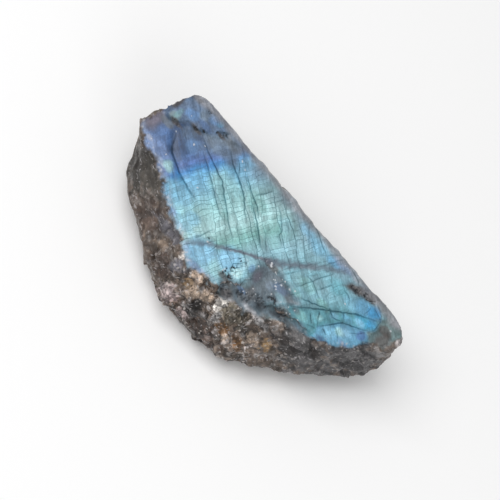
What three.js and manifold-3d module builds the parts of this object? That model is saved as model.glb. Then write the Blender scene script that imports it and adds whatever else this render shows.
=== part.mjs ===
// A rough chunk of labradorite, lying on a broken cleavage plane with its one polished face turned up.
// Millimetres, +Z up, +X along the stone, -Y towards its rough front flank.
import * as THREE from 'three';
import { mergeVertices } from 'three/addons/utils/BufferGeometryUtils.js';
import Module from 'manifold-3d';

const wasm = await Module();
wasm.setup();

// Driving dimensions
const FACE_HEIGHT = 17; // polished face above the ground, at the face's own origin
const FACE_TILT = THREE.MathUtils.degToRad(12); // the face leans towards the front
const CENTRE = [0.93, -3.77]; // middle of the box round the stone, in the axes of the outlines
const COLUMNS = 144; // points round each ring of the rough flank
const UPPER_RINGS = 10; // rings from the rim of the face down to the girdle
const LOWER_RINGS = 6; // rings from the girdle down to the foot
const FLANK_RELIEF = 1.1; // how far the broken facets of the flank stand in or out
const FLANK_FACETS = [[5.2, 1, 11], [2.3, 0.55, 37]]; // size, share of the relief and salt of the facets
const FLANK_FADE = 2; // rings over which the relief fades out at the rim and at the foot
const CALM_ENDS = { from: 12, to: 20, relief: 0.5 }; // the flank is smoother this far from the middle
const FACET_LEAN = 1.6; // how steeply the broken facets lean
const LOWEST_FLANK = 0.1; // the flank stays this far above the ground
const RIM_RELIEF = 0.5; // how far the chipped rim runs in or out
const RIM_FACET = 2.1; // length of the chips along the rim
const BACK_RIM = { from: 5, relief: 0.3 }; // where the cleaner back edge starts, and its share of relief
const RIM_ASPECT = 0.3; // width of the rim over its length
const UNDERCUT = { inward: 0.3, height: 0.12 }; // how the flank curves in under the girdle
const CUT_HEIGHT = 5; // height of every cutting block above the face
const CUT_SIZE = 90; // side of a block that cuts everything beyond a plane
const BLADE_HEIGHT = 0.7; // height of a crack's cutting blade above the face
const CHIP_RAISE = 0.6; // how far a chip's centre lies above the face, as a share of its radius
const CRYSTAL_SINK = 0.45; // how deep a crystal's centre lies, as a share of its radius
const CRYSTAL_SIZES = [0.55, 1.05]; // smallest and largest crystal of a cluster, over the cluster's size
const CRYSTAL_FLATNESS = [0.6, 0.9]; // least and most width of a crystal, over its length
const CLUSTER_HEIGHT = 0.11; // share of the flank's height that one millimetre of spread takes up
const FRONT_SHARE = 0.58; // share of each ring that lies on the front, counted from the left tip
const STONE_HEART = new THREE.Vector3(0, -3, 8); // a point deep inside, towards which crystals are sunk
const STONE_COLOUR = 0x5f7378;

// Rim of the polished face: along the stone and up the face, from the left tip along the front
const RIM = [
  [-30.2, -1.3], [-28.4, -3.2], [-24.6, -4.3], [-20.8, -5.5], [-17.6, -7.9], [-14.4, -9.6],
  [-11.0, -10.7], [-8.2, -12.6], [-5.2, -13.9], [-1.6, -13.1], [2.2, -13.1], [6.4, -12.3],
  [10.6, -10.3], [15.0, -8.0], [19.6, -6.9], [23.2, -5.2], [25.4, -2.4], [27.0, 0.2],
  [30.0, 2.4], [30.9, 5.4], [29.4, 7.3], [19.0, 7.7], [8.0, 8.5], [-4.0, 9.3],
  [-14.0, 10.0], [-23.2, 10.8], [-26.0, 10.2], [-27.6, 7.6], [-29.0, 3.4],
];

// Girdle: the widest line round the rough flank, as x, y and height
const GIRDLE = [
  [-27.5, -1.0, 8.5], [-25.9, -4.6, 7.0], [-22.1, -8.6, 7.0], [-16.5, -10.8, 6.5],
  [-12.5, -13.5, 6.0], [-7.9, -15.9, 6.0], [-2.8, -17.7, 5.5], [4.0, -18.0, 5.0],
  [10.8, -17.0, 5.0], [18.2, -11.6, 5.0], [26.4, -4.9, 6.0], [30.5, -0.4, 6.5],
  [31.9, 3.2, 7.5], [31.0, 7.4, 11.0], [25.2, 9.2, 9.0], [15.0, 10.2, 8.5],
  [4.0, 10.6, 8.0], [-8.0, 11.0, 8.0], [-18.0, 10.8, 8.0], [-24.6, 8.8, 8.0], [-26.8, 4.4, 8.5],
];

// Foot: the cleavage plane on which the stone lies
const FOOT = [
  [-20.5, -1.2], [-17.0, -5.4], [-11.0, -9.4], [-3.0, -12.4], [5.5, -12.6], [12.5, -9.6], [19.0, -5.0],
  [24.4, 0.2], [25.4, 3.6], [21.0, 6.2], [10.0, 7.0], [-5.0, 7.4], [-15.5, 6.4], [-19.8, 3.2],
];

// Cleavage planes that cut the block off: a point on the plane and its outward direction
const CLEAVAGE_CUTS = [
  { point: [0, 9.4, 17], out: [0.069, 1, -0.1] },
  { point: [0, 8.2, 7], out: [0.1, 1, -0.35] },
  { point: [-26.6, 5, 9], out: [-1, 0.3, -0.25] },
];

// Steps where thin sheets have split off the back: an outline along the stone and up the back, and a depth
const BACK_PLANE = CLEAVAGE_CUTS[0];
const BACK_STEPS = [
  { outline: [[-27, -9], [-12.5, -9], [-10, -6.5], [-14, -1.5], [-27, -2.5]], depth: 0.6 },
  { outline: [[-2, -14], [4.5, -7.5], [2, -4.2], [12, -2.8], [32, -3.6], [32, -14]], depth: 0.5 },
  { outline: [[13, -14], [16, -9], [22, -7], [32, -7.5], [32, -14]], depth: 1.1 },
];

// Worn bevel along the straight back edge of the face, in the axes of the face
const BACK_BEVEL = { point: [0, 7.9, 0], out: [0.026, 0.5, 0.87] };

// Plate left standing at the left end: its top slopes down to the back edge
const LEFT_PLATE = {
  outline: [
    [-28.0, 3.0], [-26.8, 2.5], [-25.2, 3.4], [-24.0, 4.6], [-21.5, 5.0], [-19.1, 6.2],
    [-18.8, 7.4], [-17.4, 8.7], [-17.2, 9.5], [-23.2, 10.3], [-25.8, 9.8], [-27.2, 7.4],
  ],
  bottom: -1,
  slope: THREE.MathUtils.degToRad(-5),
};

// What has split off the face: an outline, the floor's depth at its back and its slope down to the front
const SPLITS = [
  // Three thin plates gone from the lower right, each a little deeper
  {
    outline: [
      [12.7, -3.1], [14.8, -2.3], [16.8, -1.3], [18.4, -0.6], [20.6, 1.2], [22.0, 2.4], [23.8, 3.3],
      [25.9, 4.4], [30.6, 5.2], [30.0, -4.0], [22.0, -9.5], [12.5, -11.5], [9.5, -8.2],
    ],
    depth: 0.25,
    slope: 0,
  },
  {
    outline: [
      [12.5, -5.6], [14.5, -3.8], [16.5, -2.1], [18.4, -0.5], [20.6, 1.3], [22.0, 2.5], [23.8, 3.4],
      [25.9, 4.5], [30.6, 5.3], [30.0, -4.0], [22.0, -9.5], [12.5, -11.5],
    ],
    depth: 0.55,
    slope: 0,
  },
  {
    outline: [
      [17.6, -6.5], [18.7, -4.3], [19.9, -2.6], [20.8, -1.2], [21.7, -0.3], [23.0, 0.3], [24.4, 1.1],
      [25.6, 1.8], [30.0, 2.2], [30.0, -4.0], [22.0, -9.5],
    ],
    depth: 0.9,
    slope: 0,
  },
  // Low corner at the right end, in two steps
  { outline: [[25.4, 8.4], [26.6, 4.4], [33, 4.0], [33, 9]], depth: 0.6, slope: 0 },
  {
    outline: [[26.6, 4.4], [26.8, 2.2], [26.2, -0.6], [33, -3], [33, 4.0]],
    depth: 1.1,
    slope: THREE.MathUtils.degToRad(5),
  },
  // Dull hollow in the middle of the front
  {
    outline: [
      [0.8, -11.2], [2.0, -10.2], [3.6, -9.4], [3.4, -8.2], [4.3, -7.3], [3.5, -6.1], [4.4, -4.9],
      [3.9, -3.8], [4.7, -2.8], [6.3, -2.3], [8.0, -2.8], [10.0, -3.1], [11.6, -3.7], [13.6, -4.0],
      [11.2, -6.8], [9.6, -12.6], [2.4, -15.2],
    ],
    depth: 0.3,
    slope: THREE.MathUtils.degToRad(9),
  },
  // Shelf under the lower right lip
  {
    outline: [
      [8.2, -8.9], [9.6, -8.5], [10.4, -7.6], [11.7, -7.7], [12.6, -6.9], [14.0, -7.0], [15.0, -6.3],
      [16.6, -6.6], [18.0, -6.2], [20.0, -6.6], [23.5, -6.2], [24.0, -9.0], [16.0, -14.0], [8.6, -14.0],
    ],
    depth: 1.8,
    slope: THREE.MathUtils.degToRad(6),
  },
  // Long pit at the back edge
  {
    outline: [[16.4, 4.9], [19.0, 5.0], [22.8, 5.9], [23.4, 8.6], [20.4, 8.8], [19.8, 6.4], [18.0, 5.9]],
    depth: 0.7,
    slope: THREE.MathUtils.degToRad(-4),
  },
  // Crooked pit in the blue tongue
  {
    outline: [[0.2, -8.0], [1.0, -5.4], [1.7, -6.2], [1.2, -8.6], [2.6, -10.2], [0.6, -10.0]],
    depth: 0.6,
    slope: 0,
  },
  // Pit beside the left plate
  { outline: [[-19.3, 6.7], [-17.2, 8.9], [-16.8, 8.2], [-18.2, 6.8]], depth: 0.5, slope: 0 },
];

// Open cracks in the face: width, depth and their route
const CRACKS = [
  [0.9, 0.45, [[-25.2, 2.6], [-24.2, 1.0], [-22.8, -0.8], [-20.0, -2.2], [-17.0, -3.5], [-12.9, -4.6]]],
  [0.4, 0.30, [[-16.9, 1.9], [-14.2, 0.6], [-12.0, -0.8], [-9.5, -2.3], [-7.0, -4.2], [-5.2, -6.0]]],
  [0.4, 0.30, [[-17.0, 3.3], [-14.3, 2.2], [-11.5, 1.1], [-8.8, -0.9], [-5.6, -3.2], [-2.4, -5.2]]],
  [0.4, 0.30, [[-14.0, 6.2], [-12.0, 4.8], [-9.5, 3.7], [-6.2, 1.5], [-3.0, -1.3]]],
  [0.6, 0.40, [[-7.2, 4.2], [-4.9, 3.0], [-2.8, 1.2], [0.0, -0.8], [2.2, -2.4]]],
  [0.4, 0.25, [[-0.8, 5.3], [1.0, 4.0], [2.2, 2.2], [4.0, 0.4]]],
  [0.4, 0.25, [[-2.0, 7.4], [0.0, 6.1], [3.0, 3.8]]],
  [0.4, 0.25, [[4.8, 7.1], [6.7, 5.4], [8.3, 4.0]]],
  [0.4, 0.30, [[5.6, 7.2], [8.2, 6.7], [11.2, 5.6]]],
  [0.4, 0.25, [[-21.8, -2.6], [-18.0, -4.8], [-13.2, -7.9]]],
  [0.4, 0.25, [[-11.8, -5.8], [-9.4, -7.2], [-7.0, -9.0]]],
  [0.4, 0.25, [[-6.9, -6.0], [-7.6, -8.3], [-8.5, -10.6]]],
  [1.3, 0.45, [[-9.6, -11.4], [-6.0, -9.2], [-1.0, -5.6], [4.0, -2.6], [9.0, 1.1], [15.2, 6.4]]],
];

// Shell-shaped chips out of the rim: along the stone, up the face and radius
const RIM_CHIPS = [
  [-26.4, -4.8, 2.6], [-22.4, -6.0, 2.0], [-18.9, -8.2, 2.8], [-12.8, -11.4, 2.4],
  [-9.8, -12.9, 2.0], [-3.5, -15.0, 2.8], [1.4, -14.6, 2.2], [22.0, -7.2, 2.4], [25.6, 8.1, 1.4],
];

// Crystals of the rough front: place along the stone, share of the way down, spread, number and size
const CRYSTAL_CLUSTERS = [
  { x: -3.2, down: 0.12, spread: 1.6, count: 7, size: 1.3 },
  { x: -1.6, down: 0.48, spread: 1.8, count: 9, size: 1.2 },
  { x: 3.8, down: 0.25, spread: 1.6, count: 7, size: 1.2 },
  { x: -7.4, down: 0.08, spread: 1.0, count: 5, size: 0.9 },
  { x: -4.4, down: 0.85, spread: 2.2, count: 7, size: 1.3 },
  { x: 7.0, down: 0.6, spread: 2.4, count: 8, size: 1.2 },
  { x: 14.5, down: 0.55, spread: 0.4, count: 2, size: 1.7 },
  { x: -11.0, down: 0.5, spread: 3.2, count: 9, size: 1.0 },
  { x: 10.5, down: 0.4, spread: 2.8, count: 8, size: 1.0 },
  { x: 26.0, down: 0.5, spread: 2.6, count: 7, size: 1.1 },
];

// A repeatable number from 0 to 1 for a lattice point.
function hash(i, j, k, salt) {
  const wave = Math.sin(i * 127.1 + j * 311.7 + k * 74.7 + salt * 53.9) * 43758.5453;
  return wave - Math.floor(wave);
}

// Height of a hackly surface at a point: each cell is a small flat facet with its own tilt and offset.
function brokenFacets(point, cellSize, salt) {
  const p = point.clone().divideScalar(cellSize);
  const base = p.clone().floor();
  let nearest = Infinity;
  let height = 0;
  for (let n = 0; n < 27; n += 1) {
    const step = new THREE.Vector3(n % 3, Math.floor(n / 3) % 3, Math.floor(n / 9)).subScalar(1);
    const cell = base.clone().add(step);
    const random = (channel) => hash(cell.x, cell.y, cell.z, salt + channel);
    const away = p.clone().sub(cell).sub(new THREE.Vector3(random(1), random(2), random(3)));
    if (away.lengthSq() < nearest) {
      nearest = away.lengthSq();
      const tilt = new THREE.Vector3(random(4) - 0.5, random(5) - 0.5, random(6) - 0.5);
      height = random(7) - 0.5 + FACET_LEAN * tilt.dot(away);
    }
  }
  return height;
}

// Places what is drawn on the polished face: x along the stone, y up the face, z out of it.
const FACE_FRAME = new THREE.Matrix4()
  .makeTranslation(0, 0, FACE_HEIGHT)
  .multiply(new THREE.Matrix4().makeRotationX(FACE_TILT));

function onFace(along, up, out = 0) {
  return new THREE.Vector3(along, up, out).applyMatrix4(FACE_FRAME);
}

// A closed geometry as a solid that can be joined and cut.
function solidOf(geometry) {
  const bare = geometry.clone();
  bare.deleteAttribute('normal');
  bare.deleteAttribute('uv');
  const merged = mergeVertices(bare, 1e-4);
  return new wasm.Manifold(new wasm.Mesh({
    numProp: 3,
    vertProperties: new Float32Array(merged.attributes.position.array),
    triVerts: new Uint32Array(merged.index.array),
  }));
}

function geometryOf(solid) {
  const { numProp, numVert, vertProperties, triVerts } = solid.getMesh();
  const places = new Float32Array(numVert * 3);
  for (let i = 0; i < numVert; i += 1) {
    places.set(vertProperties.subarray(i * numProp, i * numProp + 3), i * 3);
  }
  return new THREE.BufferGeometry()
    .setAttribute('position', new THREE.BufferAttribute(places, 3))
    .setIndex(new THREE.BufferAttribute(new Uint32Array(triVerts), 1));
}

function indexedGeometry(points, triangles) {
  return new THREE.BufferGeometry().setFromPoints(points).setIndex(triangles.flat());
}

// Evenly spaced points on a closed smooth line.
function ringOf(points) {
  return new THREE.CatmullRomCurve3(points, true, 'centripetal').getSpacedPoints(COLUMNS).slice(0, COLUMNS);
}

// The rim with its small chips; the straight back edge is cleaner than the front.
function chippedRim() {
  return ringOf(RIM.map(([along, up]) => new THREE.Vector3(along, up, 0))).map((p) => {
    const share = p.y > BACK_RIM.from ? BACK_RIM.relief : 1;
    const outward = new THREE.Vector3(RIM_ASPECT * p.x, p.y, 0).normalize();
    p.addScaledVector(outward, RIM_RELIEF * share * brokenFacets(p, RIM_FACET, 3));
    return onFace(p.x, p.y);
  });
}

// Smooth rings of the flank, from the rim of the face at the top to the foot at the bottom.
function smoothRings() {
  const rim = chippedRim();
  const girdle = ringOf(GIRDLE.map((p) => new THREE.Vector3(...p)));
  const foot = ringOf(FOOT.map(([x, y]) => new THREE.Vector3(x, y, 0)));
  const rings = [];
  for (let r = 0; r < UPPER_RINGS; r += 1) {
    rings.push(rim.map((p, i) => p.clone().lerp(girdle[i], r / UPPER_RINGS)));
  }
  for (let r = 0; r <= LOWER_RINGS; r += 1) {
    rings.push(girdle.map((p, i) => {
      const under = p.clone().lerp(foot[i], UNDERCUT.inward).setZ(p.z * UNDERCUT.height);
      return new THREE.QuadraticBezierCurve3(p, under, foot[i]).getPoint(r / LOWER_RINGS);
    }));
  }
  return rings;
}

// The rings with a hackly surface, which fades out at the rim and at the foot.
function brokenRings() {
  const rings = smoothRings();
  const last = rings.length - 1;
  return rings.map((ring, r) => ring.map((p, i) => {
    if (r === 0 || r === last) return p.clone();
    const along = ring[(i + 1) % COLUMNS].clone().sub(ring[(i + COLUMNS - 1) % COLUMNS]);
    const down = rings[r + 1][i].clone().sub(rings[r - 1][i]);
    const out = down.cross(along).normalize();
    const fade = Math.min(1, r / FLANK_FADE, (last - r) / FLANK_FADE);
    const toEnd = THREE.MathUtils.smoothstep(Math.abs(p.x), CALM_ENDS.from, CALM_ENDS.to);
    const share = THREE.MathUtils.lerp(1, CALM_ENDS.relief, toEnd);
    const reliefs = FLANK_FACETS.map(([size, part, salt]) => part * brokenFacets(p, size, salt));
    const relief = reliefs.reduce((sum, height) => sum + height);
    const moved = p.clone().addScaledVector(out, FLANK_RELIEF * fade * share * relief);
    return moved.setZ(Math.max(moved.z, LOWEST_FLANK));
  }));
}

const FLANK = brokenRings();

// The block: the broken flank, closed by the polished face and the foot.
function block() {
  const triangles = [];
  for (let r = 0; r + 1 < FLANK.length; r += 1) {
    for (let i = 0; i < COLUMNS; i += 1) {
      const next = (i + 1) % COLUMNS;
      const [a, b] = [r * COLUMNS + i, r * COLUMNS + next];
      const [c, d] = [a + COLUMNS, b + COLUMNS];
      triangles.push([a, c, d], [a, d, b]);
    }
  }
  const flat = (ring) => ring.map((p) => new THREE.Vector2(p.x, p.y));
  const capOf = (ring) => THREE.ShapeUtils.triangulateShape(flat(ring), []);
  const footStart = (FLANK.length - 1) * COLUMNS;
  capOf(FLANK[0]).forEach((corners) => triangles.push(corners));
  capOf(FLANK.at(-1)).forEach(([a, b, c]) => triangles.push([footStart + c, footStart + b, footStart + a]));
  return solidOf(indexedGeometry(FLANK.flat(), triangles));
}

// Everything beyond a plane.
function beyondPlane({ point, out }, frame = new THREE.Matrix4()) {
  const direction = new THREE.Vector3(...out).normalize();
  const turn = new THREE.Quaternion().setFromUnitVectors(new THREE.Vector3(0, 0, 1), direction);
  const geometry = new THREE.BoxGeometry(CUT_SIZE, CUT_SIZE, CUT_SIZE).translate(0, 0, CUT_SIZE / 2);
  return solidOf(geometry.applyQuaternion(turn).translate(...point).applyMatrix4(frame));
}

// A straight-sided block drawn on a surface, between two heights, tilted about its farthest edge.
function platform(outline, bottom, top, slope = 0, frame = FACE_FRAME) {
  const shape = new THREE.Shape(outline.map(([along, up]) => new THREE.Vector2(along, up)));
  const geometry = new THREE.ExtrudeGeometry(shape, { depth: top - bottom, bevelEnabled: false });
  const hinge = Math.max(...outline.map((p) => p[1]));
  geometry.translate(0, -hinge, bottom).rotateX(slope).translate(0, hinge, 0).applyMatrix4(frame);
  return solidOf(geometry);
}

// Places what is drawn on the back: x along the stone, y up the back, z into the stone.
function backFrame() {
  const out = new THREE.Vector3(...BACK_PLANE.out).normalize();
  const along = new THREE.Vector3(1, 0, 0).projectOnPlane(out).normalize();
  const up = along.clone().cross(out);
  return new THREE.Matrix4().makeBasis(along, up, out.negate()).setPosition(...BACK_PLANE.point);
}

// A V-shaped blade along a route over the face, pointed at both ends.
function crackBlade(width, depth, route) {
  const points = [onFace(...route[0], BLADE_HEIGHT)];
  for (let k = 1; k + 1 < route.length; k += 1) {
    const way = new THREE.Vector2(route[k + 1][0] - route[k - 1][0], route[k + 1][1] - route[k - 1][1]);
    const side = way.normalize().multiplyScalar(0.5 * width * (1 + BLADE_HEIGHT / depth));
    points.push(
      onFace(route[k][0] - side.y, route[k][1] + side.x, BLADE_HEIGHT),
      onFace(route[k][0] + side.y, route[k][1] - side.x, BLADE_HEIGHT),
      onFace(...route[k], -depth),
    );
  }
  points.push(onFace(...route.at(-1), BLADE_HEIGHT));
  const end = points.length - 1;
  const triangles = [];
  for (let s = 0; s < 3; s += 1) {
    const t = (s + 1) % 3;
    triangles.push([0, 1 + t, 1 + s], [end, end - 3 + s, end - 3 + t]);
    for (let k = 1; k + 3 < end; k += 3) {
      triangles.push([k + s, k + t, k + 3 + t], [k + s, k + 3 + t, k + 3 + s]);
    }
  }
  return solidOf(indexedGeometry(points, triangles));
}

// A round scoop at the rim.
function rimChip([along, up, radius]) {
  const middle = onFace(along, up, CHIP_RAISE * radius);
  return solidOf(new THREE.IcosahedronGeometry(radius, 1).translate(middle.x, middle.y, middle.z));
}

// A place on the front flank, by its x and its share of the way down from the rim to the girdle.
function frontPlace(x, down) {
  const ring = FLANK[THREE.MathUtils.clamp(Math.round(down * UPPER_RINGS), 1, UPPER_RINGS + 2)];
  const front = ring.slice(0, Math.round(COLUMNS * FRONT_SHARE));
  return front.reduce((best, p) => (Math.abs(p.x - x) < Math.abs(best.x - x) ? p : best));
}

// Angular feldspar crystals, half sunk in the front of the rough flank.
function crystals({ x, down, spread, count, size }) {
  return Array.from({ length: count }, (_, n) => {
    const random = (channel) => hash(n, channel, Math.round(10 * x), 71);
    const [aside, below] = [1, 2].map((channel) => spread * (2 * random(channel) - 1));
    const between = ([least, most], share) => THREE.MathUtils.lerp(least, most, share);
    const [width, thickness] = [4, 5].map((channel) => between(CRYSTAL_FLATNESS, random(channel)));
    const place = frontPlace(x + aside, down + CLUSTER_HEIGHT * below);
    const radius = size * between(CRYSTAL_SIZES, random(3));
    const geometry = new THREE.IcosahedronGeometry(radius, 0)
      .scale(1, width, thickness)
      .rotateX(2 * Math.PI * random(6))
      .rotateZ(2 * Math.PI * random(7));
    const inward = STONE_HEART.clone().sub(place).normalize();
    const middle = place.clone().addScaledVector(inward, CRYSTAL_SINK * radius);
    return solidOf(geometry.translate(middle.x, middle.y, middle.z));
  });
}

// The stone, which is one solid
function stone() {
  let solid = block();
  const cut = (tool) => { solid = solid.subtract(tool); };
  const join = (piece) => { solid = solid.add(piece); };
  CRYSTAL_CLUSTERS.flatMap(crystals).forEach(join);
  CLEAVAGE_CUTS.forEach((plane) => cut(beyondPlane(plane)));
  BACK_STEPS.forEach(({ outline, depth }) => cut(platform(outline, -CUT_HEIGHT, depth, 0, backFrame())));
  SPLITS.forEach(({ outline, depth, slope }) => cut(platform(outline, -depth, CUT_HEIGHT, slope)));
  join(platform(LEFT_PLATE.outline, LEFT_PLATE.bottom, 0, LEFT_PLATE.slope));
  cut(beyondPlane(BACK_BEVEL, FACE_FRAME));
  RIM_CHIPS.forEach((chip) => cut(rimChip(chip)));
  CRACKS.forEach((crack) => cut(crackBlade(...crack)));
  const largest = solid.decompose().sort((a, b) => b.volume() - a.volume())[0];
  return geometryOf(largest).translate(-CENTRE[0], -CENTRE[1], 0);
}

const chunk = new THREE.Mesh(
  stone(),
  new THREE.MeshStandardMaterial({ color: STONE_COLOUR, roughness: 0.6, metalness: 0 }),
);
chunk.name = 'labradorite_chunk';

const part = new THREE.Group();
part.add(chunk);

export default part;
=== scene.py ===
# A rough chunk of labradorite on a pale floor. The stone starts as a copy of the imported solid, gets a finer
# surface, and carries its markings as values on its vertices, which one node material reads.
import math
from itertools import product

import bmesh
import bpy
import numpy as np
from mathutils import Matrix, Vector, noise


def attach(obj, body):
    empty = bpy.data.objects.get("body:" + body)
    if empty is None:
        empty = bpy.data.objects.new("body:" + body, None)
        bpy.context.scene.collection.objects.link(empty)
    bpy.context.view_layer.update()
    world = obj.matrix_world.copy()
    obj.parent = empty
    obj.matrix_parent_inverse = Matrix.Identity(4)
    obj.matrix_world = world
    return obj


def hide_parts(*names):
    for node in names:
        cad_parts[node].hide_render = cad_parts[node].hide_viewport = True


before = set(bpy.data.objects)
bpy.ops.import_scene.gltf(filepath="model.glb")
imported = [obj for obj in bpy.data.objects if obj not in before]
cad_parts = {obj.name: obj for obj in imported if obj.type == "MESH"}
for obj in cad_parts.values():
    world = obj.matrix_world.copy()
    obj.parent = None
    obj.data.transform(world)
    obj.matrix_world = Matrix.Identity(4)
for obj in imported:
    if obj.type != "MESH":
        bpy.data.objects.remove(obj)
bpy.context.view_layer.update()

SEED = 7
MILLIMETRE = 0.001  # in metres: the stone is shaped in millimetres
PER_METRE = 1.0 / MILLIMETRE

# The polished face, as the solid has it: its axes run along the stone, up the face and out of it
FACE_HEIGHT = 17.0  # of the axes' origin above the floor
FACE_TILT = math.radians(12)  # towards the front
CENTRE = (0.93, -3.77)  # middle of the stone's box, along the stone and towards its back
FACE_NORMAL = np.array((0.0, -math.sin(FACE_TILT), math.cos(FACE_TILT)))

# Directions on the face in which the crystal splits, the axes along those two, and the bricks between cracks
LONG_SPLIT = math.radians(-33)
CROSS_SPLIT = math.radians(63)
SPLIT_AXES = np.linalg.inv(np.array((
    (math.cos(LONG_SPLIT), math.cos(CROSS_SPLIT)),
    (math.sin(LONG_SPLIT), math.sin(CROSS_SPLIT)),
)))
STRIP_WIDTH = 1.9
BRICK_LENGTH = 0.85

# Surface detail, in millimetres where the note says nothing else
VOXEL = 0.312  # size of the even faces, before those of the polished face are halved
FINEST_SLOPE, FINEST_DEPTH, FINEST_RIM = 0.8, -1.6, 0.2  # flatter, higher and further in, faces are halved
GROOVE_DEPTH = 0.04  # of an open crack
PIT_DEPTH = 0.3
SWELL_HEIGHT, SWELL_SIZE = 0.05, 3.5  # of the polished face
FACET_SIZES = (3.6, 1.6, 0.8)  # of the broken flank
FACET_SHARES = (0.60, 0.50, 0.22)  # of each size in the relief
FACET_SLOPE = 0.24  # lean of a facet
FACET_STEP = 0.09  # between facets, as a share of their size
SMOOTHING_STEPS = 14  # rounds of wear over the polished face
SMOOTHING_SHARE = 0.6  # of the way to the neighbours, in each round
TERRACES = 6  # steps of the back for each unit of its noise
TERRACE_HEIGHT = 0.34
TERRACE_STRETCH = (0.09, 1.0, 0.5)  # the steps run along the stone

# Where things fade in or out, from the first value to the second: distances inside the rim, slopes, depths
# under the face, heights above the floor, and places along and up the stone
RIM_CRUMBS = ((0.9, 1.8, 1), (0.35, 0.6, 18))  # reach, size and salt of the crumbs that eat into the rim
POLISH_AT_RIM = (-0.2, 0.5)
POLISH_ON_SLOPES = (0.15, 0.45)
POLISH_IN_DEPTHS = (-4.0, -3.0)
BACK_SLOPES = (0.5, 0.85)
STEPS_UNDER_EDGE = (-3.5, -1.0)
ROUGH_ABOVE_FLOOR = (0.05, 0.9)
ROUGH_FROM_LEFT = (-18.0, -6.0)
CALM_AT_BACK = (4.0, 7.0)
CALM_UNDER_EDGE = (-5.0, -2.0)
GRAINY_FROM_LEFT = (-12.0, -4.0)
PLAIN_AT_RIGHT = (12.0, 18.0)
CRAZED_FROM_LEFT = (-17.0, -12.0)
PLAINER_AT_RIGHT = (3.0, 9.0)
CRAZED_FROM_BACK = (0.5, 3.0)
HAZE_FROM_BACK = (1.0, 5.5)
WORN_BACK_EDGE = (0.3, 2.0)
# fades of the front rim, which is frosted and chipped and partly painted with a highlight
FROSTED_AND_HIGHLIT_RIM = (0.3, 1.4)
FROSTED_AND_HIGHLIT_TO = (-2.0, 1.0)
CHIPPED_AND_HIGHLIT_RIM = (0.3, 1.3)

# Numbers that scramble a place into a repeatable random one
HASH_WEIGHTS = np.array((127.1, 311.7, 74.7))
HASH_SALT = 53.9
HASH_SCALE = 43758.5453
NOISE_SHIFT = Vector((17.3, 5.1, 9.7))

# The viewing angle of the photograph, its width in pixels, the millimetres of one pixel, and the lens
ELEVATION = math.radians(62)
ROLL = math.radians(46)
IMAGE_WIDTH = 500
PIXEL_SIZE = 0.18
FACE_ORIGIN_PIXEL = (263, 235)
LENS = 200.0
SENSOR = 36.0

# Rim of the polished face, from the left tip along the front
RIM = (
    (-30.2, -1.3), (-28.4, -3.2), (-24.6, -4.3), (-20.8, -5.5), (-17.6, -7.9), (-14.4, -9.6),
    (-11, -10.7), (-8.2, -12.6), (-5.2, -13.9), (-1.6, -13.1), (2.2, -13.1), (6.4, -12.3),
    (10.6, -10.3), (15, -8), (19.6, -6.7), (22.6, -4.9), (25.2, -2.7), (27.2, 0.2),
    (29.6, 2), (30.6, 5), (29.2, 7.4), (19, 8.6), (8, 9.4), (-4, 10.2),
    (-14, 10.9), (-23.2, 11.6), (-26.9, 10.6), (-28.1, 7.8), (-29.2, 3.4),
)
FRONT_RIM = RIM[:18]
BACK_EDGE = (
    (-26, 9.7), (-22.8, 10.2), (-14, 9.8), (-4, 9.1), (8, 8.3), (19, 7.5), (25.4, 6.9), (29, 7),
)

# Upper left border of the hollow, where the face rolls over into it
HOLLOW_BROW = ((2.0, -13.0), (3.2, -9.5), (4.0, -6.0), (4.8, -2.0))
BROW_WIDTH = 2.6
BROW_STEPS = 90

# Paints of the stone, as linear red, green and blue
PAINTS = {
    "dusk": (0.042, 0.08, 0.17), "indigo": (0.075, 0.15, 0.325),
    "violet blue": (0.085, 0.165, 0.4), "periwinkle": (0.165, 0.26, 0.49),
    "royal blue": (0.06, 0.24, 0.53), "azure": (0.15, 0.4, 0.62),
    "sky": (0.215, 0.48, 0.65), "bright sky": (0.265, 0.54, 0.74),
    "aqua": (0.305, 0.56, 0.585), "pale aqua": (0.43, 0.69, 0.71),
    "sea green": (0.215, 0.455, 0.44), "steel aqua": (0.3, 0.525, 0.61),
    "grey teal": (0.225, 0.45, 0.53), "teal": (0.12, 0.35, 0.42),
    "deep teal": (0.1, 0.29, 0.345), "lagoon": (0.07, 0.325, 0.49),
    "deep blue": (0.06, 0.31, 0.59), "plate blue": (0.135, 0.33, 0.48),
    "cap blue": (0.14, 0.27, 0.5), "cap grey": (0.12, 0.18, 0.285),
    "slate blue": (0.09, 0.15, 0.25), "haze": (0.165, 0.22, 0.285),
    # the lilac of the front rim is partly frost and partly a painted highlight
    "edge grey": (0.3, 0.305, 0.33), "rim lilac and highlight": (0.27, 0.34, 0.49),
    "lilac grey": (0.145, 0.13, 0.17), "moss": (0.15, 0.22, 0.215),
    "slate": (0.105, 0.128, 0.155), "umber": (0.085, 0.072, 0.068),
    "shadow": (0.026, 0.032, 0.04),
}
HEALED_PAINT = (0.105, 0.115, 0.150, 1.0)
CRACK_TINT = (0.14, 0.27, 0.30, 1.0)
SPECK_AND_GLINT_PAINT = (0.55, 0.57, 0.60, 1.0)
# colour of the painted glints on the flank's grains
GLINT_PAINT = (0.48, 0.44, 0.41, 1.0)
# colour of the light splinters and scratches, which are partly painted glints
SPLINTER_AND_GLINT_PAINT = (0.42, 0.40, 0.41, 1.0)
FLOOR_PAINT = (0.96, 0.96, 0.96, 1.0)
SURROUND_PAINT = (1.0, 1.0, 1.0, 1.0)

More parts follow.
